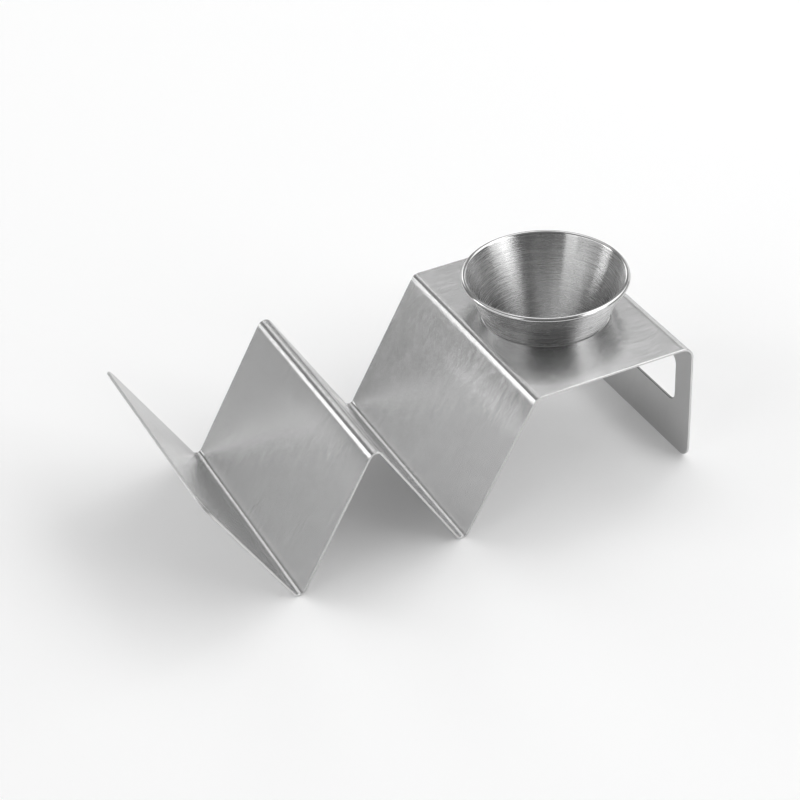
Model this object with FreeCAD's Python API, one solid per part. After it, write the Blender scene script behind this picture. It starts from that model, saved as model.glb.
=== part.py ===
"""Taco holder: one folded strip of steel sheet with two taco troughs, a shelf and
a leg, and a spun sauce cup that hangs in the round hole of the shelf.

Millimetres. X runs along the strip, from the free lip to the leg, Y across it, +Z up.
The origin is on the table, under the middle of the whole length.
"""
import FreeCAD, Part
import math
import os

from FreeCAD import Vector

# Sheet
sheet_width = 100.0
sheet_thickness = 1.0

# Troughs
slope_angle = 59.5            # of each trough wall, from the table
bend_radius = 2.0             # inside radius of the folds at the troughs and ridges
lip_height = 55.2             # table to the upper face at the free lip
lip_corner_radius = 8.0

# Shelf
shelf_height = 53.7           # table to the shelf's upper face
shelf_length = 69.1           # ridge corner to the outer face of the leg

# Leg
leg_bend_radius = 4.5         # inside radius of the fold between shelf and leg
leg_corner_radius = 5.5
window_sill_height = 21.5     # table to the window's lower edge
window_height = 21.5
window_side_margin = 10.5     # window to the sheet's side edge
window_corner_radius = 4.0

# Sauce cup
cup_height = 35.0
cup_rim_diameter = 65.8
cup_base_diameter = 38.0
cup_wall = 0.5
cup_base_corner_radius = 3.0  # inside radius between base and wall
rim_bead_diameter = 2.2
cup_stand_out = 17.3          # top of the rim above the shelf
cup_hole_clearance = 0.12     # between the cup's wall and the hole's upper edge

# Working values, not sizes of the object
cutter_overrun = 1.0          # how far a cutting tool runs past the sheet on each side
match_tolerance = 0.01        # for finding an edge by its place or length
bead_curve_points = 9


# Points and directions in the section plane XZ

def section_point(x, z):
    return Vector(x, 0, z)


def heading(degrees):
    angle = math.radians(degrees)
    return section_point(math.cos(angle), math.sin(angle))


def left_of(direction):
    return section_point(-direction.z, direction.x)


# A fold swaps one straight heading for the next. The upper face is on the left of the
# strip's direction, so a fold to the left has the upper face on its inside.

def fold(corner, heading_in, heading_out, inside_radius):
    """The two arcs of one fold whose upper faces, drawn straight, meet at corner."""
    turn = heading_out - heading_in
    side = 1 if turn > 0 else -1
    upper_radius = inside_radius if turn > 0 else inside_radius + sheet_thickness
    lower_radius = upper_radius + side * sheet_thickness
    reach = upper_radius * math.tan(math.radians(abs(turn)) / 2)
    start = corner - heading(heading_in) * reach
    centre = start + left_of(heading(heading_in)) * (side * upper_radius)
    arcs = []
    for radius in (upper_radius, lower_radius):
        points = []
        for angle in (heading_in, (heading_in + heading_out) / 2, heading_out):
            points.append(centre - left_of(heading(angle)) * (side * radius))
        arcs.append(points)
    return arcs


def strip_outline(start, folds, end, end_heading):
    """Closed outline of the folded strip, from its upper face round to its lower one."""
    upper = [start]
    lower = [start - left_of(heading(folds[0][1])) * sheet_thickness]
    edges_upper = []
    edges_lower = []
    for corner, heading_in, heading_out, inside_radius in folds:
        upper_arc, lower_arc = fold(corner, heading_in, heading_out, inside_radius)
        edges_upper.append(Part.LineSegment(upper[-1], upper_arc[0]).toShape())
        edges_upper.append(Part.Arc(*upper_arc).toShape())
        edges_lower.append(Part.LineSegment(lower[-1], lower_arc[0]).toShape())
        edges_lower.append(Part.Arc(*lower_arc).toShape())
        upper.append(upper_arc[2])
        lower.append(lower_arc[2])
    lower_end = end - left_of(heading(end_heading)) * sheet_thickness
    edges_upper.append(Part.LineSegment(upper[-1], end).toShape())
    edges_lower.append(Part.LineSegment(lower[-1], lower_end).toShape())
    lip_cut = Part.LineSegment(upper[0], lower[0]).toShape()
    foot_cut = Part.LineSegment(end, lower_end).toShape()
    return Part.Wire(Part.__sortEdges__([lip_cut, foot_cut] + edges_upper + edges_lower))


# Where the straight upper faces would meet, from the lip to the foot

slope = math.radians(slope_angle)
fold_depth = 1 / math.cos(slope) - 1        # corner to arc, for a fold of radius 1
trough_corner_height = sheet_thickness - bend_radius * fold_depth
ridge_corner_height = shelf_height + (bend_radius + sheet_thickness) * fold_depth


def run_of(rise):
    return rise / math.tan(slope)


lip_to_trough = run_of(lip_height - trough_corner_height)
trough_to_ridge = run_of(ridge_corner_height - trough_corner_height)
trough_to_shelf = run_of(shelf_height - trough_corner_height)
lip_overhang = sheet_thickness * math.sin(slope)
total_length = (lip_overhang + lip_to_trough + 2 * trough_to_ridge
                + trough_to_shelf + shelf_length)

lip_x = lip_overhang - total_length / 2
first_trough_x = lip_x + lip_to_trough
ridge_x = first_trough_x + trough_to_ridge
second_trough_x = ridge_x + trough_to_ridge
shelf_start_x = second_trough_x + trough_to_shelf
leg_x = shelf_start_x + shelf_length

# The cup's hole is in the middle of the flat of the shelf.
shelf_fold_reach = (bend_radius + sheet_thickness) * math.tan(slope / 2)
leg_fold_reach = leg_bend_radius + sheet_thickness
cup_x = (shelf_start_x + shelf_fold_reach + leg_x - leg_fold_reach) / 2

# The cup's wall runs straight up and rolls outwards into the rim bead. Its inner face is
# tangent to the bead's circle, and its outer face passes the bead's centre at
# wall_to_centre and meets the roll in a crease.
bead_radius = rim_bead_diameter / 2
wall_to_centre = bead_radius - cup_wall
bead_centre = section_point(cup_rim_diameter / 2 - bead_radius, cup_height - bead_radius)
flare = bead_centre.x - cup_base_diameter / 2
wall_reach = math.hypot(flare, bead_centre.z)
taper = math.acos(wall_to_centre / wall_reach) - math.atan2(bead_centre.z, flare)


def cup_radius(height):
    """Outside radius of the cup's wall at a height above its base."""
    return cup_base_diameter / 2 + height * math.tan(taper)


seat_height = cup_height - cup_stand_out
cup_hole_radius = cup_radius(seat_height) + cup_hole_clearance


def round_corners(body, x, z, radius):
    """Rounds the two corners of the sheet that lie at one end of the strip."""
    corners = []
    for edge in body.Edges:
        middle = edge.CenterOfMass
        at_end = math.hypot(middle.x - x, middle.z - z) < sheet_thickness
        at_side = abs(abs(middle.y) - sheet_width / 2) < match_tolerance
        through_sheet = abs(edge.Length - sheet_thickness) < match_tolerance
        if at_end and at_side and through_sheet:
            corners.append(edge)
    return body.makeFillet(radius, corners)


def leg_window():
    """Rounded rectangle that runs through the leg along X."""
    width = sheet_width - 2 * window_side_margin
    depth = sheet_thickness + 2 * cutter_overrun
    start = Vector(leg_x - sheet_thickness - cutter_overrun, -width / 2, window_sill_height)
    block = Part.makeBox(depth, width, window_height, start)
    through_leg = [edge for edge in block.Edges
                   if abs(edge.BoundBox.XLength - depth) < match_tolerance]
    return block.makeFillet(window_corner_radius, through_leg)


def cup_hole():
    """Round plug for the hole of the shelf."""
    depth = sheet_thickness + 2 * cutter_overrun
    start = Vector(cup_x, 0, shelf_height - sheet_thickness - cutter_overrun)
    return Part.makeCylinder(cup_hole_radius, depth, start)


def folded_holder():
    """The strip: lip, trough, ridge, trough, shelf and leg, folded from one sheet."""
    up = slope_angle
    down = -slope_angle
    folds = [
        (section_point(first_trough_x, trough_corner_height), down, up, bend_radius),
        (section_point(ridge_x, ridge_corner_height), up, down, bend_radius),
        (section_point(second_trough_x, trough_corner_height), down, up, bend_radius),
        (section_point(shelf_start_x, shelf_height), up, 0, bend_radius),
        (section_point(leg_x, shelf_height), 0, -90, leg_bend_radius),
    ]
    lip = section_point(lip_x, lip_height)
    foot = section_point(leg_x, 0)
    section = strip_outline(lip, folds, foot, -90)
    strip = Part.Face(section).extrude(Vector(0, sheet_width, 0))
    strip.translate(Vector(0, -sheet_width / 2, 0))

    strip = round_corners(strip, lip_x, lip_height, lip_corner_radius)
    strip = round_corners(strip, leg_x, 0, leg_corner_radius)
    return strip.cut(cup_hole()).cut(leg_window())


def base_corner(floor_height, wall_foot, radius):
    """Arc that joins the floor of the cup to a wall that starts at wall_foot."""
    lean = math.degrees(taper)
    centre_height = floor_height + radius
    wall_x = wall_foot + (centre_height - floor_height) * math.tan(taper)
    centre = section_point(wall_x - radius / math.cos(taper), centre_height)
    middle_angle = (-90 - lean) / 2
    return [centre + heading(angle) * radius for angle in (-90, middle_angle, -lean)]


def rim_bead():
    """Curve round the bead, from the wall's inner face over the top to the crease.

    It is one smooth curve through points of the bead's circle. An arc would revolve to a
    torus, which takes half as many facets again.
    """
    start = 180 - math.degrees(taper)
    turn = 360 - math.degrees(math.acos(wall_to_centre / bead_radius))
    points = []
    for index in range(bead_curve_points):
        angle = start - turn * index / (bead_curve_points - 1)
        points.append(bead_centre + heading(angle) * bead_radius)
    curve = Part.BSplineCurve()
    curve.interpolate(points)
    return curve


def sauce_cup():
    """Spun cup: flat base, straight tapered wall and a rim rolled outwards."""
    inner_foot = cup_radius(cup_wall) - cup_wall / math.cos(taper)
    outer_corner = base_corner(0, cup_radius(0), cup_base_corner_radius + cup_wall)
    inner_corner = base_corner(cup_wall, inner_foot, cup_base_corner_radius)
    bead = rim_bead()
    axis_low = section_point(0, 0)
    axis_high = section_point(0, cup_wall)
    edges = [
        Part.LineSegment(axis_low, outer_corner[0]),
        Part.Arc(*outer_corner),
        Part.LineSegment(outer_corner[2], bead.EndPoint),
        bead,
        Part.LineSegment(bead.StartPoint, inner_corner[2]),
        Part.Arc(*inner_corner),
        Part.LineSegment(inner_corner[0], axis_high),
        Part.LineSegment(axis_high, axis_low),
    ]
    outline = Part.Wire(Part.__sortEdges__([edge.toShape() for edge in edges]))
    cup = Part.Face(outline).revolve(Vector(0, 0, 0), Vector(0, 0, 1), 360)
    cup.translate(Vector(cup_x, 0, shelf_height - seat_height))
    return cup


os.makedirs("parts", exist_ok=True)
folded_holder().exportStep("parts/folded_holder.step")
sauce_cup().exportStep("parts/sauce_cup.step")
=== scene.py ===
"""Looks of the taco holder: one strip of brushed steel sheet, folded into two taco
troughs, a shelf and a leg, and a spun steel sauce cup that hangs in the shelf's hole.

Metres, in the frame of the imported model: X runs along the strip from the free lip to
the leg, Y across it, +Z up, and the table is at zero.
"""
import math

import bmesh
import bpy
from mathutils import Matrix, Vector


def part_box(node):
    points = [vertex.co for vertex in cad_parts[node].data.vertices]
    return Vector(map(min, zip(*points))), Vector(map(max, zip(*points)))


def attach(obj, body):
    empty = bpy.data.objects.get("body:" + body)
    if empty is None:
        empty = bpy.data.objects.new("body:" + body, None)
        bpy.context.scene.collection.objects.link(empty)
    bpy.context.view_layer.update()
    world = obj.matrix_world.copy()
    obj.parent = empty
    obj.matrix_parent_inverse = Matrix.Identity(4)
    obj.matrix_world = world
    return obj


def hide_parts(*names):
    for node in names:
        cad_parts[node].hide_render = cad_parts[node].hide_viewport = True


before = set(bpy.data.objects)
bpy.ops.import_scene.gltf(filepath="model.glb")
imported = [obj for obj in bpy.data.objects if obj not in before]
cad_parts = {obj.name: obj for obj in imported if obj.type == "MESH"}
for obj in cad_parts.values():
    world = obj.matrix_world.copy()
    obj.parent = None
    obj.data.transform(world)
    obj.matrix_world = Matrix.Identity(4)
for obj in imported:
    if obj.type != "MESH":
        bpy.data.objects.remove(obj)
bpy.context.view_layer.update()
holder_low, holder_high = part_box("folded_holder")
cup_low, cup_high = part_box("sauce_cup")

# Sheet
SHEET_WIDTH = holder_high.y - holder_low.y
SHEET_THICKNESS = 0.001
SLOPE = math.radians(59.5)
FOLD_RADIUS = 0.002
RIDGE_EASING = (math.radians(14), 0.008)    # turn and radius of the slight bend that leads
SHELF_EASING = (math.radians(7), 0.016)     # a rising trough wall into its fold
LIP_HEIGHT = holder_high.z
LIP_CORNER_RADIUS = 0.008

# Shelf and leg
SHELF_HEIGHT = 0.0537
SHELF_LENGTH = 0.0691
LEG_FOLD_RADIUS = 0.0045
LEG_CORNER_RADIUS = 0.0055
WINDOW_SILL = 0.0215
WINDOW_HEIGHT = 0.0215
WINDOW_SIDE_MARGIN = 0.0105
WINDOW_CORNER_RADIUS = 0.004

# Sauce cup
CUP_HEIGHT = 0.035
CUP_RIM_RADIUS = 0.0329
CUP_WALL = 0.0005
CUP_BASE_RADIUS = 0.019
CUP_BASE_CORNER = 0.003         # inside radius between base and wall
RIM_BEAD_RADIUS = 0.0011
RIM_CURL_GAP = 0.00025          # between the wall and the free end of the rolled rim
CUP_HOLE_CLEARANCE = 0.00012    # between the wall and the upper edge of the hole

# The cup's wall leans so that its inner face runs into the side of the rim's bead.
BEAD_HEIGHT = CUP_HEIGHT - RIM_BEAD_RADIUS
BEAD_REACH = CUP_RIM_RADIUS - RIM_BEAD_RADIUS - CUP_BASE_RADIUS
CUP_TAPER = (math.acos((RIM_BEAD_RADIUS - CUP_WALL) / math.hypot(BEAD_REACH, BEAD_HEIGHT))
             - math.atan2(BEAD_HEIGHT, BEAD_REACH))

# Rounded edges
EDGE_ROUND = 0.00018            # deburred edges
PIERCED_ROUND = 0.00026         # edges that a punch drew in round the openings

# Fineness of the meshes
FOLD_STEPS = 16
EASING_STEP = math.radians(1.4)
CORNER_STEPS = 12
EDGE_ROUND_STEPS = 3
OPENING_STEP = 0.0011           # spacing of the points round an opening
CUP_STEPS = 180
CUP_CORNER_STEPS = 10
RIM_STEPS = 30
HOLD_WIDTH = 0.0004             # narrow faces beside a fold, which keep the flats' shading flat
OPENING_FRAME = 0.004           # ring of faces between an opening and the rest of its flat

# For finding faces and edges by their place and direction
MATCH_TOLERANCE = 0.00001
MERGE_DISTANCE = 0.000001
PARALLEL = 0.999                # cosine between two normals that count as one direction
CUT_EDGE_ANGLE = math.radians(50)
SHEET_SHARP_ANGLE = math.radians(12)    # above one step of a fold, so that folds stay smooth
CUP_SHARP_ANGLE = math.radians(30)

# Material slots. The openings' slot holds dark steel, whose low tone is painted shade in the
# gap round the cup and also darkens the window's edges.
SHEET_FACE, CUT_FACE, OPENING_SHADE_FACE = 0, 1, 2
RIM_FACE = 1

# Camera
CAMERA_TARGET = Vector((-0.00092, -0.00247, 0.03551))
CAMERA_YAW = math.radians(-25.05)
CAMERA_PITCH = math.radians(35.488)
CAMERA_ROLL = math.radians(-2.851)
CAMERA_DISTANCE = 0.81889
CAMERA_LENS = 95.55
SENSOR_WIDTH = 36.0

# Studio light: azimuths run from +X towards +Y, and brightness 1 mirrors as white
LIGHTS_CENTRE = Vector((0, 0, 0.03))
BACK_AZIMUTH = 65.0
WALL_LIGHT = 0.037
CEILING_LIGHT = 0.36
BACK_WALL_LIGHT = 0.19
SOFTBOX_DISTANCE = 2.8
SOFTBOXES = [       # name, azimuth, elevation, width and height at one metre, brightness
    ("left_key", 142, 22, (0.27, 0.37), 4.4),
    ("left_key_halo", 142, 21, (0.32, 0.46), 0.5),
    ("left_softbox", 172, 27, (0.75, 0.50), 1.45),
    ("front_left_strip", 203, 22, (0.29, 0.67), 1.55),
    ("back_softbox", 87, 20, (0.35, 0.44), 2.0),
    ("back_top_softbox", 45, 56, (0.58, 0.50), 1.8),
    ("back_top_left_softbox", 88, 58, (0.25, 0.42), 1.3),
    ("right_back_softbox", 32, 16, (0.50, 0.42), 1.0),
    ("front_right_strip", 298, 20, (0.33, 0.75), 1.6),
    ("front_right_softbox", 312, 24, (0.50, 0.75), 1.9),
    ("right_softbox", 352, 44, (0.92, 0.75), 1.7),
]
FLOOR_HALF_WIDTH = 20.0
FLOOR_COLOUR = 0.97
FLOOR_GLOW = 0.13           # share of plain white in the floor, which lightens its shadow


def heading(angle):
    """Direction in the section plane XZ, from +X towards +Z."""
    return Vector((math.cos(angle), 0, math.sin(angle)))


def left_of(direction):
    return Vector((-direction.z, 0, direction.x))


def of_kind(geometry, kind):
    return [item for item in geometry if isinstance(item, kind)]


def draw_on(mesh, end, push=(0, 0, 0), centre=(0, 0, 0), turn=0.0, steps=1):
    """Carries the end of a section on by a push or a turn in XZ, and returns the new end."""
    made = bmesh.ops.spin(mesh, geom=end, cent=centre, axis=(0, -1, 0), dvec=push,
                          angle=turn, steps=steps, use_merge=False, use_duplicate=False)
    return made["geom_last"]


# The folded sheet

def fold_corners():
    """Where the straight upper faces would meet, with the headings, the inside radius and
    the easing."""
    fold_depth = 1 / math.cos(SLOPE) - 1
    trough = SHEET_THICKNESS - FOLD_RADIUS * fold_depth
    ridge = SHELF_HEIGHT + (FOLD_RADIUS + SHEET_THICKNESS) * fold_depth
    lip_x = holder_low.x + SHEET_THICKNESS * math.sin(SLOPE)
    first_trough_x = lip_x + (LIP_HEIGHT - trough) / math.tan(SLOPE)
    ridge_x = first_trough_x + (ridge - trough) / math.tan(SLOPE)
    second_trough_x = 2 * ridge_x - first_trough_x
    leg_x = holder_high.x
    shelf_x = leg_x - SHELF_LENGTH
    lip = Vector((lip_x, 0, LIP_HEIGHT))
    foot = Vector((leg_x, 0, 0))
    folds = [
        (Vector((first_trough_x, 0, trough)), -SLOPE, SLOPE, FOLD_RADIUS, None),
        (Vector((ridge_x, 0, ridge)), SLOPE, -SLOPE, FOLD_RADIUS, RIDGE_EASING),
        (Vector((second_trough_x, 0, trough)), -SLOPE, SLOPE, FOLD_RADIUS, None),
        (Vector((shelf_x, 0, SHELF_HEIGHT)), SLOPE, 0.0, FOLD_RADIUS, SHELF_EASING),
        (Vector((leg_x, 0, SHELF_HEIGHT)), 0.0, -math.pi / 2, LEG_FOLD_RADIUS, None),
    ]
    return lip, folds, foot


def fold_arcs(corner, heading_in, heading_out, inside_radius, easing):
    """The arcs of one fold along the upper face, each a centre, a turn and its steps, with
    the places where the fold starts and ends."""
    turn = heading_out - heading_in
    side = 1 if turn > 0 else -1
    radius = inside_radius if side > 0 else inside_radius + SHEET_THICKNESS
    bends = []
    if easing:
        eased_turn, eased_radius = easing
        bends.append((side * eased_turn, eased_radius, round(eased_turn / EASING_STEP)))
        turn -= side * eased_turn
    bends.append((turn, radius, FOLD_STEPS))

    # The arcs are laid end to end from the origin, and then moved to the corner.
    place, angle, arcs = Vector(), heading_in, []
    for bend_turn, bend_radius, steps in bends:
        centre = place + left_of(heading(angle)) * (side * bend_radius)
        angle += bend_turn
        place = centre - left_of(heading(angle)) * (side * bend_radius)
        arcs.append((centre, bend_turn, steps))
    along_in, along_out = heading(heading_in), heading(heading_out)
    reach_out = place.dot(left_of(along_in)) / along_out.dot(left_of(along_in))
    reach_in = place.dot(left_of(along_out)) / along_in.dot(left_of(along_out))
    start = corner - along_in * reach_in
    arcs = [(start + centre, bend_turn, steps) for centre, bend_turn, steps in arcs]
    return start, arcs, corner + along_out * reach_out


def sheet_section(mesh, lip, folds, foot):
    """Ribbon of faces in the section plane, drawn from the lip to the foot."""
    first_heading = folds[0][1]
    thickness = left_of(heading(first_heading)) * SHEET_THICKNESS
    upper = mesh.verts.new(lip)
    lower = mesh.verts.new(lip - thickness)
    lip_edge = mesh.edges.new((upper, lower))
    end = [upper, lower, lip_edge]
    place = lip.copy()
    hold_start = 0.0
    for fold in folds:
        along = heading(fold[1])
        start, arcs, fold_end = fold_arcs(*fold)
        flat = (start - place).length
        if hold_start:
            end = draw_on(mesh, end, push=along * hold_start)
        end = draw_on(mesh, end, push=along * (flat - hold_start - HOLD_WIDTH))
        end = draw_on(mesh, end, push=along * HOLD_WIDTH)
        for centre, turn, steps in arcs:
            end = draw_on(mesh, end, centre=centre, turn=turn, steps=steps)
        place = fold_end
        hold_start = HOLD_WIDTH
    along = heading(folds[-1][2])
    end = draw_on(mesh, end, push=along * hold_start)
    end = draw_on(mesh, end, push=along * ((foot - place).length - hold_start))
    foot_edge = of_kind(end, bmesh.types.BMEdge)[0]
    return lip_edge, foot_edge


def widen_section(mesh, lip_edge, foot_edge):
    """Pushes the section across the whole width and marks the faces that were cut."""
    near_side = list(mesh.faces)
    bmesh.ops.translate(mesh, verts=list(mesh.verts), vec=(0, -SHEET_WIDTH / 2, 0))
    made = bmesh.ops.extrude_face_region(mesh, geom=near_side)["geom"]
    bmesh.ops.translate(mesh, verts=of_kind(made, bmesh.types.BMVert),
                        vec=(0, SHEET_WIDTH, 0))
    bmesh.ops.recalc_face_normals(mesh, faces=list(mesh.faces))
    cut = near_side + of_kind(made, bmesh.types.BMFace)
    cut += list(lip_edge.link_faces) + list(foot_edge.link_faces)
    for face in cut:
        face.material_index = CUT_FACE


def round_end_corners(mesh, end_edges, radius):
    """Rounds the sheet's two corners at one end of the strip."""
    bmesh.ops.bevel(mesh, geom=end_edges, offset=radius, offset_type="OFFSET",
                    segments=CORNER_STEPS, profile=0.5, affect="EDGES", material=-1)


def end_corner_edges(mesh, place):
    """The two edges through the sheet beside a point of the section, one on each side."""
    found = []
    for edge in mesh.edges:
        middle = (edge.verts[0].co + edge.verts[1].co) / 2
        through_sheet = abs(edge.calc_length() - SHEET_THICKNESS) < MATCH_TOLERANCE
        at_place = math.hypot(middle.x - place.x, middle.z - place.z) < SHEET_THICKNESS
        at_side = abs(abs(middle.y) - SHEET_WIDTH / 2) < MATCH_TOLERANCE
        if through_sheet and at_place and at_side:
            found.append(edge)
    return found


def flat_faces(mesh, place, normal):
    """The upper and lower face of the flat that a point of the sheet lies in."""
    found = []
    for side in (1, -1):
        facing = [face for face in mesh.faces if face.normal.dot(normal) * side > PARALLEL]
        facing = [face for face in facing
                  if abs((face.calc_center_median() - place).dot(normal)) < 2 * SHEET_THICKNESS]
        found.append(max(facing, key=lambda face: face.calc_area()))
    return found


def nearest_on_outline(point, axes, half_sizes, radius):
    """Nearest point of a rounded rectangle, all from the rectangle's centre."""
    core = Vector()
    for axis, half in zip(axes, half_sizes):
        reach = half - radius
        core += axis * max(-reach, min(reach, point.dot(axis)))
    outward = point - core
    outward -= axes[0].cross(axes[1]) * outward.dot(axes[0].cross(axes[1]))
    return core + outward.normalized() * radius


def cut_opening(mesh, centre, axes, half_sizes, radius):
    """Cuts a rounded rectangle, or a circle, right through the flat that holds centre.

    Each face of the flat gets a rectangular frame, whose middle is taken out and whose
    edges are drawn in to the outline of the opening."""
    normal = axes[0].cross(axes[1])
    rims = []
    for face in flat_faces(mesh, centre, normal):
        pieces = [face]
        for axis, half in zip(axes, half_sizes):
            for side in (-1, 1):
                geometry = set(pieces)
                for piece in pieces:
                    geometry.update(piece.edges, piece.verts)
                line = centre + axis * (half + OPENING_FRAME) * side
                cut = bmesh.ops.bisect_plane(mesh, geom=list(geometry), plane_co=line,
                                             plane_no=axis, dist=MERGE_DISTANCE)
                pieces = of_kind(cut["geom"], bmesh.types.BMFace)
        middle = min(pieces, key=lambda piece: (piece.calc_center_median() - centre).length)
        level = normal * (middle.calc_center_median() - centre).dot(normal)
        for edge in list(middle.edges):
            steps = round(edge.calc_length() / OPENING_STEP)
            bmesh.ops.subdivide_edges(mesh, edges=[edge], cuts=steps - 1)
        frame_edges = list(middle.edges)
        bmesh.ops.delete(mesh, geom=[middle], context="FACES_ONLY")
        made = bmesh.ops.extrude_edge_only(mesh, edges=frame_edges)["geom"]
        for vert in of_kind(made, bmesh.types.BMVert):
            point = nearest_on_outline(vert.co - centre, axes, half_sizes, radius)
            vert.co = centre + level + point
        rims.append((of_kind(made, bmesh.types.BMEdge), level))
    (upper, upper_level), (_, lower_level) = rims
    made = bmesh.ops.extrude_edge_only(mesh, edges=upper)["geom"]
    bmesh.ops.translate(mesh, verts=of_kind(made, bmesh.types.BMVert),
                        vec=lower_level - upper_level)
    # The opening's wall goes in the openings' slot, whose dark steel paints shade into the gap
    # round the cup.
    for face in of_kind(made, bmesh.types.BMFace):
        face.material_index = OPENING_SHADE_FACE
    bmesh.ops.remove_doubles(mesh, verts=list(mesh.verts), dist=MERGE_DISTANCE)


def cup_radius(height):
    """Outside radius of the cup's wall at a height above its base."""
    return CUP_BASE_RADIUS + height * math.tan(CUP_TAPER)


def deburr(mesh):
    """Rounds every cut edge a little. The outer ones get the sheet's material, and those at an
    opening the openings' dark steel, whose low tone is painted shade in the gap round the cup
    and also darkens the window's edges."""
    outer, pierced = [], []
    for edge in mesh.edges:
        if edge.is_manifold and edge.calc_face_angle() > CUT_EDGE_ANGLE:
            at_opening = any(face.material_index == OPENING_SHADE_FACE for face in edge.link_faces)
            (pierced if at_opening else outer).append(edge)
    for edges, size, edge_slot in ((outer, EDGE_ROUND, SHEET_FACE),
                                (pierced, PIERCED_ROUND, OPENING_SHADE_FACE)):
        made = bmesh.ops.bevel(mesh, geom=edges, offset=size, offset_type="OFFSET",
                               segments=EDGE_ROUND_STEPS, profile=0.5, affect="EDGES",
                               clamp_overlap=True, material=-1)
        for face in made["faces"]:
            face.material_index = edge_slot


def make_piece(mesh, name, sharp_angle=math.pi):
    """Turns a finished bmesh into an object of the scene, smooth up to an angle."""
    bmesh.ops.recalc_face_normals(mesh, faces=list(mesh.faces))
    data = bpy.data.meshes.new(name)
    mesh.to_mesh(data)
    mesh.free()
    data.shade_smooth()
    data.set_sharp_from_angle(angle=sharp_angle)
    piece = bpy.data.objects.new(name, data)
    bpy.context.scene.collection.objects.link(piece)
    return piece


def make_folded_sheet():
    lip, folds, foot = fold_corners()
    mesh = bmesh.new()
    lip_edge, foot_edge = sheet_section(mesh, lip, folds, foot)
    widen_section(mesh, lip_edge, foot_edge)
    round_end_corners(mesh, end_corner_edges(mesh, lip), LIP_CORNER_RADIUS)
    round_end_corners(mesh, end_corner_edges(mesh, foot), LEG_CORNER_RADIUS)

    along, across, up = Vector((1, 0, 0)), Vector((0, 1, 0)), Vector((0, 0, 1))
    hole_centre = Vector(((cup_low.x + cup_high.x) / 2, 0, SHELF_HEIGHT))
    hole_radius = cup_radius(SHELF_HEIGHT - cup_low.z) + CUP_HOLE_CLEARANCE
    cut_opening(mesh, hole_centre, (along, across), (hole_radius, hole_radius), hole_radius)
    window_centre = Vector((foot.x, 0, WINDOW_SILL + WINDOW_HEIGHT / 2))
    window_half = SHEET_WIDTH / 2 - WINDOW_SIDE_MARGIN
    cut_opening(mesh, window_centre, (across, up), (window_half, WINDOW_HEIGHT / 2),
                WINDOW_CORNER_RADIUS)
    deburr(mesh)
    return make_piece(mesh, "folded_sheet", SHEET_SHARP_ANGLE)


# The sauce cup

def cup_profile(mesh):
    """Closed outline of the cup's wall, from the middle of the base round the rolled rim
    and back to the middle of the floor."""
    axis_x = (cup_low.x + cup_high.x) / 2
    base = Vector((axis_x, 0, cup_low.z))
    height = cup_high.z - cup_low.z
    rim_radius = (cup_high.x - cup_low.x) / 2
    bead = base + Vector((rim_radius - RIM_BEAD_RADIUS, 0, height - RIM_BEAD_RADIUS))
    curl_radius = RIM_BEAD_RADIUS - CUP_WALL
    past_square = math.asin((curl_radius - RIM_CURL_GAP) / RIM_BEAD_RADIUS)
    curl = math.pi * 1.5 + past_square
    wall_heading = math.pi / 2 - CUP_TAPER

    corner_radius = CUP_BASE_CORNER + CUP_WALL
    corner_reach = corner_radius * math.tan(wall_heading / 2)
    flat = CUP_BASE_RADIUS - corner_reach
    end = [mesh.verts.new(base)]
    end = draw_on(mesh, end, push=(flat, 0, 0))
    corner_centre = base + Vector((flat, 0, corner_radius))
    end = draw_on(mesh, end, centre=corner_centre, turn=wall_heading, steps=CUP_CORNER_STEPS)
    wall_start = of_kind(end, bmesh.types.BMVert)[0].co.copy()
    curl_start = bead + heading(math.pi - CUP_TAPER) * curl_radius
    end = draw_on(mesh, end, push=curl_start - wall_start)
    end = draw_on(mesh, end, centre=bead, turn=-curl, steps=RIM_STEPS)
    curl_end = heading(math.pi - CUP_TAPER - curl)
    end = draw_on(mesh, end, push=curl_end * CUP_WALL)
    end = draw_on(mesh, end, centre=bead, turn=curl, steps=RIM_STEPS)
    inner_end = corner_centre + heading(-CUP_TAPER) * CUP_BASE_CORNER
    inner_start = bead + heading(math.pi - CUP_TAPER) * RIM_BEAD_RADIUS
    end = draw_on(mesh, end, push=inner_end - inner_start)
    end = draw_on(mesh, end, centre=corner_centre, turn=-wall_heading,
                  steps=CUP_CORNER_STEPS)
    floor_edge = of_kind(end, bmesh.types.BMVert)[0].co
    draw_on(mesh, end, push=(axis_x - floor_edge.x, 0, 0))
    return Vector((axis_x, 0, 0))


def mark_rim(mesh, axis):
    """Gives the rolled rim its own material, from where the wall starts to curl."""
    bead_radius = (cup_high.x - cup_low.x) / 2 - RIM_BEAD_RADIUS
    bead_height = cup_high.z - RIM_BEAD_RADIUS
    up_the_wall = heading(math.pi / 2 - CUP_TAPER)
    for face in mesh.faces:
        centre = face.calc_center_median()
        radius = math.hypot(centre.x - axis.x, centre.y - axis.y)
        offset = Vector((radius - bead_radius, 0, centre.z - bead_height))
        inward = offset.dot(left_of(up_the_wall))
        in_wall = (offset.dot(up_the_wall) < 0
                   and inward > RIM_BEAD_RADIUS - CUP_WALL - MATCH_TOLERANCE)
        if offset.length < RIM_BEAD_RADIUS + MATCH_TOLERANCE and not in_wall:
            face.material_index = RIM_FACE


def make_spun_cup():
    mesh = bmesh.new()
    axis = cup_profile(mesh)
    outline = list(mesh.verts) + list(mesh.edges)
    bmesh.ops.spin(mesh, geom=outline, cent=axis, axis=(0, 0, 1), dvec=(0, 0, 0),
                   angle=2 * math.pi, steps=CUP_STEPS, use_merge=True)
    bmesh.ops.remove_doubles(mesh, verts=list(mesh.verts), dist=MERGE_DISTANCE)
    mark_rim(mesh, axis)
    return make_piece(mesh, "spun_cup", CUP_SHARP_ANGLE)


# Materials

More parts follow.
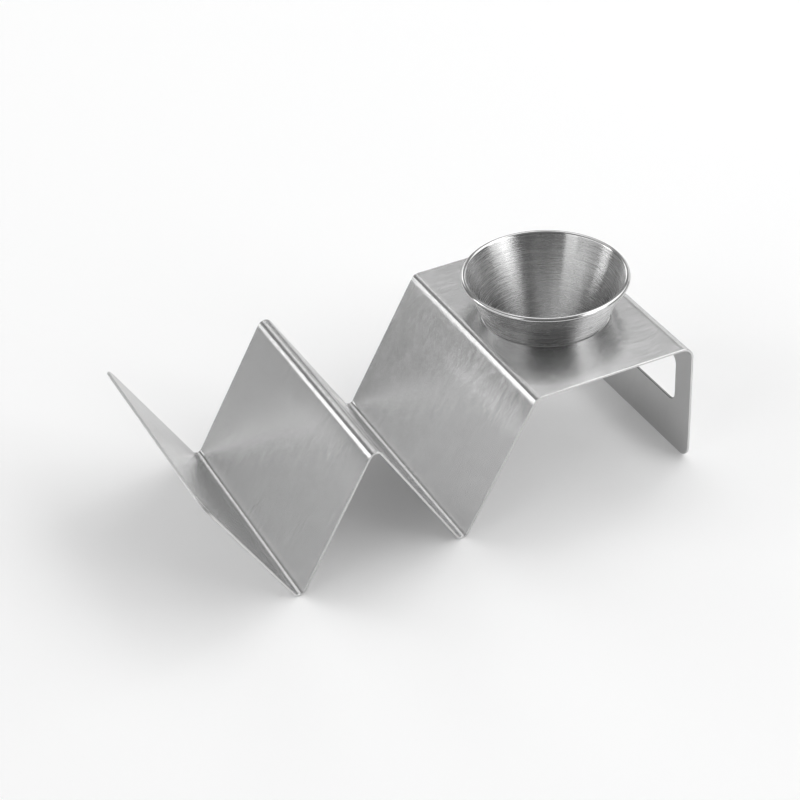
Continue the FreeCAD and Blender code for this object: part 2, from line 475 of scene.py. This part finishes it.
def add_node(tree, kind, inputs=None, **settings):
    """A shader node: settings are its own fields, inputs are values or other sockets."""
    node = tree.nodes.new(kind)
    for name, value in settings.items():
        setattr(node, name, value)
    for name, value in (inputs or {}).items():
        if isinstance(value, bpy.types.NodeSocket):
            tree.links.new(value, node.inputs[name])
        else:
            node.inputs[name].default_value = value
    return node


def start_group(name, inputs, outputs):
    """Empty node group with the given sockets, each a name and a kind of value."""
    group = bpy.data.node_groups.new(name, "ShaderNodeTree")
    for socket, kind in inputs:
        group.interface.new_socket(socket, in_out="INPUT", socket_type=kind)
    for socket, kind in outputs:
        group.interface.new_socket(socket, in_out="OUTPUT", socket_type=kind)
    entry = group.nodes.new("NodeGroupInput").outputs
    result = group.nodes.new("NodeGroupOutput").inputs
    return group, entry, result


def brush_lines_group():
    """Lines that a brushing belt leaves, from 0 to 1. The coordinates come in with one
    line's width as their unit across the lines and one line's length along them."""
    group, entry, result = start_group("brush_lines", [("Vector", "NodeSocketVector")],
                                       [("Lines", "NodeSocketFloat")])
    layers = []
    for scale, detail in ((1.0, 2.0), (0.45, 2.0), (0.2, 1.0)):     # fine, broad, bands
        layer = add_node(group, "ShaderNodeTexNoise",
                         {"Vector": entry["Vector"], "Scale": scale, "Detail": detail,
                          "Roughness": 0.6})
        layers.append(layer.outputs["Fac"])
    mixed = add_node(group, "ShaderNodeMix", {"Factor": 0.55, "A": layers[0], "B": layers[1]})
    mixed = add_node(group, "ShaderNodeMix", {"Factor": 0.1, "A": mixed.outputs["Result"],
                                              "B": layers[2]})
    contrast = add_node(group, "ShaderNodeMapRange",
                        {"Value": mixed.outputs["Result"], "From Min": 0.32, "From Max": 0.68})
    group.links.new(contrast.outputs["Result"], result["Lines"])
    return group


def handling_group():
    """Faint clouds of wiping and fingertips, from 0 for clean to 1 for marked."""
    group, entry, result = start_group(
        "handling", [("Vector", "NodeSocketVector"), ("Size", "NodeSocketFloat")],
        [("Marks", "NodeSocketFloat")])
    scale = add_node(group, "ShaderNodeMath", operation="DIVIDE")
    scale.inputs[0].default_value = 1.0
    group.links.new(entry["Size"], scale.inputs[1])
    clouds = add_node(group, "ShaderNodeTexNoise",
                      {"Vector": entry["Vector"], "Scale": scale.outputs[0], "Detail": 4.0,
                       "Roughness": 0.55, "Distortion": 0.6})
    marks = add_node(group, "ShaderNodeMapRange",
                     {"Value": clouds.outputs["Fac"], "From Min": 0.42, "From Max": 0.75},
                     interpolation_type="SMOOTHSTEP")
    group.links.new(marks.outputs["Result"], result["Marks"])
    return group


def group_node(tree, group, inputs):
    node = tree.nodes.new("ShaderNodeGroup")
    node.node_tree = group
    for name, value in inputs.items():
        if isinstance(value, bpy.types.NodeSocket):
            tree.links.new(value, node.inputs[name])
        else:
            node.inputs[name].default_value = value
    return node


def steel_material(name):
    material = bpy.data.materials.new(name)
    material.use_nodes = True
    tree = material.node_tree
    shader = tree.nodes["Principled BSDF"]
    shader.inputs["Metallic"].default_value = 1.0
    return material, tree, shader


def finish_steel(tree, shader, lines, marks, tones, roughness, line_depth):
    """Colour, gloss and relief of the steel from its lines and its handling marks. Tones
    are the greys between and on the lines. Roughness is the same pair, and what a mark
    adds to it."""
    colour = add_node(tree, "ShaderNodeMix", {"Factor": lines}, data_type="RGBA")
    for socket, tone in zip(("A", "B"), tones):
        colour.inputs[socket].default_value = (tone, tone, tone, 1)
    tree.links.new(colour.outputs["Result"], shader.inputs["Base Color"])
    between_lines, on_lines, added_by_marks = roughness
    base = add_node(tree, "ShaderNodeMapRange",
                    {"Value": lines, "To Min": between_lines, "To Max": on_lines})
    rough = add_node(tree, "ShaderNodeMath", operation="MULTIPLY_ADD")
    tree.links.new(marks, rough.inputs[0])
    rough.inputs[1].default_value = added_by_marks
    tree.links.new(base.outputs["Result"], rough.inputs[2])
    tree.links.new(rough.outputs[0], shader.inputs["Roughness"])
    bump = add_node(tree, "ShaderNodeBump", {"Strength": 1.0, "Distance": line_depth,
                                             "Height": lines})
    tree.links.new(bump.outputs["Normal"], shader.inputs["Normal"])


def brushed_sheet_material(lines_group, marks_group):
    """Satin sheet, brushed along the strip before it was folded."""
    material, tree, shader = steel_material("brushed_sheet_steel")
    place = add_node(tree, "ShaderNodeTexCoord").outputs["Object"]
    line_width, line_length = 0.00019, 0.005
    stretch = add_node(tree, "ShaderNodeMapping", {"Vector": place})
    stretch.inputs["Scale"].default_value = (1 / line_length, 1 / line_width, 1 / line_length)
    lines = group_node(tree, lines_group, {"Vector": stretch.outputs["Vector"]})
    marks = group_node(tree, marks_group, {"Vector": place, "Size": 0.02})
    finish_steel(tree, shader, lines.outputs["Lines"], marks.outputs["Marks"],
                 tones=(0.515, 0.605), roughness=(0.18, 0.25, 0.03), line_depth=0.000024)
    shader.inputs["Anisotropic"].default_value = 0.9
    normal = add_node(tree, "ShaderNodeNewGeometry").outputs["Normal"]
    across = add_node(tree, "ShaderNodeVectorMath", operation="CROSS_PRODUCT")
    across.inputs[0].default_value = (0, 1, 0)
    tree.links.new(normal, across.inputs[1])
    shader.inputs["Anisotropic Rotation"].default_value = 0.25
    tree.links.new(across.outputs["Vector"], shader.inputs["Tangent"])
    return material


def worked_edge_material(name, lines_group, marks_group, grain, depth, cloud, tones,
                         roughness):
    """Steel that was cut or rolled: an even grain of the given size and depth, without
    the belt's lines."""
    material, tree, shader = steel_material(name)
    place = add_node(tree, "ShaderNodeTexCoord").outputs["Object"]
    even = add_node(tree, "ShaderNodeMapping", {"Vector": place})
    even.inputs["Scale"].default_value = (1 / grain, 1 / grain, 1 / grain)
    lines = group_node(tree, lines_group, {"Vector": even.outputs["Vector"]})
    marks = group_node(tree, marks_group, {"Vector": place, "Size": cloud})
    finish_steel(tree, shader, lines.outputs["Lines"], marks.outputs["Marks"],
                 tones=tones, roughness=roughness, line_depth=depth)
    return material


def spun_cup_material(lines_group, marks_group):
    """Satin steel with the fine rings that turning leaves round the cup. The lines'
    coordinates are the direction from the axis, which is drawn out round the cup, and
    the radius and height together, which count the rings on floor and wall alike."""
    material, tree, shader = steel_material("spun_cup_steel")
    ring_width, rings_round = 0.00022, 4.0
    axis_x = (cup_low.x + cup_high.x) / 2
    place = add_node(tree, "ShaderNodeTexCoord").outputs["Object"]
    centred = add_node(tree, "ShaderNodeMapping", {"Vector": place})
    centred.inputs["Location"].default_value = (-axis_x, 0, -cup_low.z)
    parts = add_node(tree, "ShaderNodeSeparateXYZ", {"Vector": centred.outputs["Vector"]})
    plan = add_node(tree, "ShaderNodeCombineXYZ",
                    {"X": parts.outputs["X"], "Y": parts.outputs["Y"]})
    radius = add_node(tree, "ShaderNodeVectorMath", operation="LENGTH")
    tree.links.new(plan.outputs["Vector"], radius.inputs[0])
    outward = add_node(tree, "ShaderNodeVectorMath", operation="NORMALIZE")
    tree.links.new(plan.outputs["Vector"], outward.inputs[0])
    run = add_node(tree, "ShaderNodeMath", operation="ADD")
    tree.links.new(radius.outputs["Value"], run.inputs[0])
    tree.links.new(parts.outputs["Z"], run.inputs[1])
    ring = add_node(tree, "ShaderNodeMath", operation="DIVIDE")
    tree.links.new(run.outputs[0], ring.inputs[0])
    ring.inputs[1].default_value = ring_width
    turned = add_node(tree, "ShaderNodeSeparateXYZ", {"Vector": outward.outputs["Vector"]})
    round_x = add_node(tree, "ShaderNodeMath", operation="MULTIPLY")
    round_y = add_node(tree, "ShaderNodeMath", operation="MULTIPLY")
    for node, axis in ((round_x, "X"), (round_y, "Y")):
        tree.links.new(turned.outputs[axis], node.inputs[0])
        node.inputs[1].default_value = rings_round
    coords = add_node(tree, "ShaderNodeCombineXYZ",
                      {"X": round_x.outputs[0], "Y": round_y.outputs[0], "Z": ring.outputs[0]})
    lines = group_node(tree, lines_group, {"Vector": coords.outputs["Vector"]})
    marks = group_node(tree, marks_group, {"Vector": place, "Size": 0.012})
    finish_steel(tree, shader, lines.outputs["Lines"], marks.outputs["Marks"],
                 tones=(0.40, 0.66), roughness=(0.20, 0.30, 0.03), line_depth=0.000030)
    shader.inputs["Anisotropic"].default_value = 1.0
    shader.inputs["Anisotropic Rotation"].default_value = 0.25
    return material


# Studio

def floor_material():
    """Pale paint, partly plain white to the camera and in reflections."""
    material = bpy.data.materials.new("floor_paint")
    material.use_nodes = True
    tree = material.node_tree
    shader = tree.nodes["Principled BSDF"]
    shader.inputs["Base Color"].default_value = (FLOOR_COLOUR, FLOOR_COLOUR, FLOOR_COLOUR, 1)
    shader.inputs["Roughness"].default_value = 0.9
    shader.inputs["Specular IOR Level"].default_value = 0.0
    light_path = add_node(tree, "ShaderNodeLightPath")
    seen = light_path.outputs["Is Camera Ray"]
    for kind in ("Is Glossy Ray", "Is Transmission Ray"):
        either = add_node(tree, "ShaderNodeMath", operation="MAXIMUM")
        tree.links.new(seen, either.inputs[0])
        tree.links.new(light_path.outputs[kind], either.inputs[1])
        seen = either.outputs[0]
    share = add_node(tree, "ShaderNodeMath", operation="MULTIPLY")
    tree.links.new(seen, share.inputs[0])
    share.inputs[1].default_value = FLOOR_GLOW
    white = add_node(tree, "ShaderNodeEmission")
    mixed = add_node(tree, "ShaderNodeMixShader", {"Fac": share.outputs[0]})
    tree.links.new(shader.outputs["BSDF"], mixed.inputs[1])
    tree.links.new(white.outputs["Emission"], mixed.inputs[2])
    tree.links.new(mixed.outputs["Shader"], tree.nodes["Material Output"].inputs["Surface"])
    return material


def make_floor():
    mesh = bmesh.new()
    bmesh.ops.create_grid(mesh, x_segments=1, y_segments=1, size=FLOOR_HALF_WIDTH)
    floor = make_piece(mesh, "floor")
    floor.data.materials.append(floor_material())


def make_softbox(name, azimuth, elevation, size, brightness):
    """A rectangular lamp that faces the object."""
    azimuth, elevation = math.radians(azimuth), math.radians(elevation)
    direction = Vector((math.cos(azimuth) * math.cos(elevation),
                        math.sin(azimuth) * math.cos(elevation), math.sin(elevation)))
    lamp = bpy.data.lights.new(name, "AREA")
    lamp.shape = "RECTANGLE"
    lamp.size = size[0] * SOFTBOX_DISTANCE
    lamp.size_y = size[1] * SOFTBOX_DISTANCE
    lamp.energy = brightness * math.pi * lamp.size * lamp.size_y
    softbox = bpy.data.objects.new(name, lamp)
    softbox.matrix_world = (Matrix.Translation(LIGHTS_CENTRE + direction * SOFTBOX_DISTANCE)
                            @ direction.to_track_quat("Z", "Y").to_matrix().to_4x4())
    bpy.context.scene.collection.objects.link(softbox)


def make_world():
    """Dim room, lighter towards the ceiling and the back wall."""
    world = bpy.data.worlds.new("studio")
    world.use_nodes = True
    bpy.context.scene.world = world
    tree = world.node_tree
    background = tree.nodes["Background"]
    place = add_node(tree, "ShaderNodeTexCoord").outputs["Generated"]
    height = add_node(tree, "ShaderNodeSeparateXYZ", {"Vector": place}).outputs["Z"]
    ceiling = add_node(tree, "ShaderNodeMapRange",
                       {"Value": height, "To Min": WALL_LIGHT, "To Max": CEILING_LIGHT})
    facing = add_node(tree, "ShaderNodeVectorMath", operation="DOT_PRODUCT")
    tree.links.new(place, facing.inputs[0])
    azimuth = math.radians(BACK_AZIMUTH)
    facing.inputs[1].default_value = (math.cos(azimuth), math.sin(azimuth), 0)
    wall = add_node(tree, "ShaderNodeMapRange",
                    {"Value": facing.outputs["Value"], "To Max": BACK_WALL_LIGHT})
    strength = add_node(tree, "ShaderNodeMath", operation="ADD")
    tree.links.new(ceiling.outputs["Result"], strength.inputs[0])
    tree.links.new(wall.outputs["Result"], strength.inputs[1])
    background.inputs["Color"].default_value = (1, 1, 1, 1)
    tree.links.new(strength.outputs[0], background.inputs["Strength"])


def make_camera():
    """Camera at the photograph's viewing angle."""
    back = Vector((math.sin(CAMERA_YAW) * math.cos(CAMERA_PITCH),
                   -math.cos(CAMERA_YAW) * math.cos(CAMERA_PITCH), math.sin(CAMERA_PITCH)))
    turned = back.to_track_quat("Z", "Y").to_matrix() @ Matrix.Rotation(CAMERA_ROLL, 3, "Z")
    data = bpy.data.cameras.new("camera")
    data.lens = CAMERA_LENS
    data.sensor_width = SENSOR_WIDTH
    data.clip_start, data.clip_end = 0.01, 100.0
    camera = bpy.data.objects.new("camera", data)
    camera.matrix_world = (Matrix.Translation(CAMERA_TARGET + back * CAMERA_DISTANCE)
                           @ turned.to_4x4())
    bpy.context.scene.collection.objects.link(camera)
    bpy.context.scene.camera = camera


lines_group = brush_lines_group()
marks_group = handling_group()

folded_sheet = make_folded_sheet()
folded_sheet.data.materials.append(brushed_sheet_material(lines_group, marks_group))
folded_sheet.data.materials.append(worked_edge_material(
    "sheared_edge_steel", lines_group, marks_group, grain=0.00012, depth=0.000004,
    cloud=0.004, tones=(0.58, 0.72), roughness=(0.38, 0.5, 0.05)))
# Dark steel of the openings' edges: its low tones are painted shade in the gap round the cup,
# and the window's edges get them too. The higher roughness is the punched edge's own.
folded_sheet.data.materials.append(worked_edge_material(
    "pierced_edge_painted_shade", lines_group, marks_group, grain=0.00012, depth=0.000004,
    cloud=0.004, tones=(0.20, 0.34), roughness=(0.42, 0.55, 0.05)))
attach(folded_sheet, "root")
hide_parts("folded_holder")

spun_cup = make_spun_cup()
spun_cup.data.materials.append(spun_cup_material(lines_group, marks_group))
spun_cup.data.materials.append(worked_edge_material(
    "rolled_rim_steel", lines_group, marks_group, grain=0.0003, depth=0.000001,
    cloud=0.006, tones=(0.46, 0.56), roughness=(0.08, 0.14, 0.04)))
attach(spun_cup, "root")
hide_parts("sauce_cup")

make_floor()
make_world()
make_camera()
for softbox in SOFTBOXES:
    make_softbox(*softbox)
bpy.context.scene.view_settings.view_transform = "Standard"
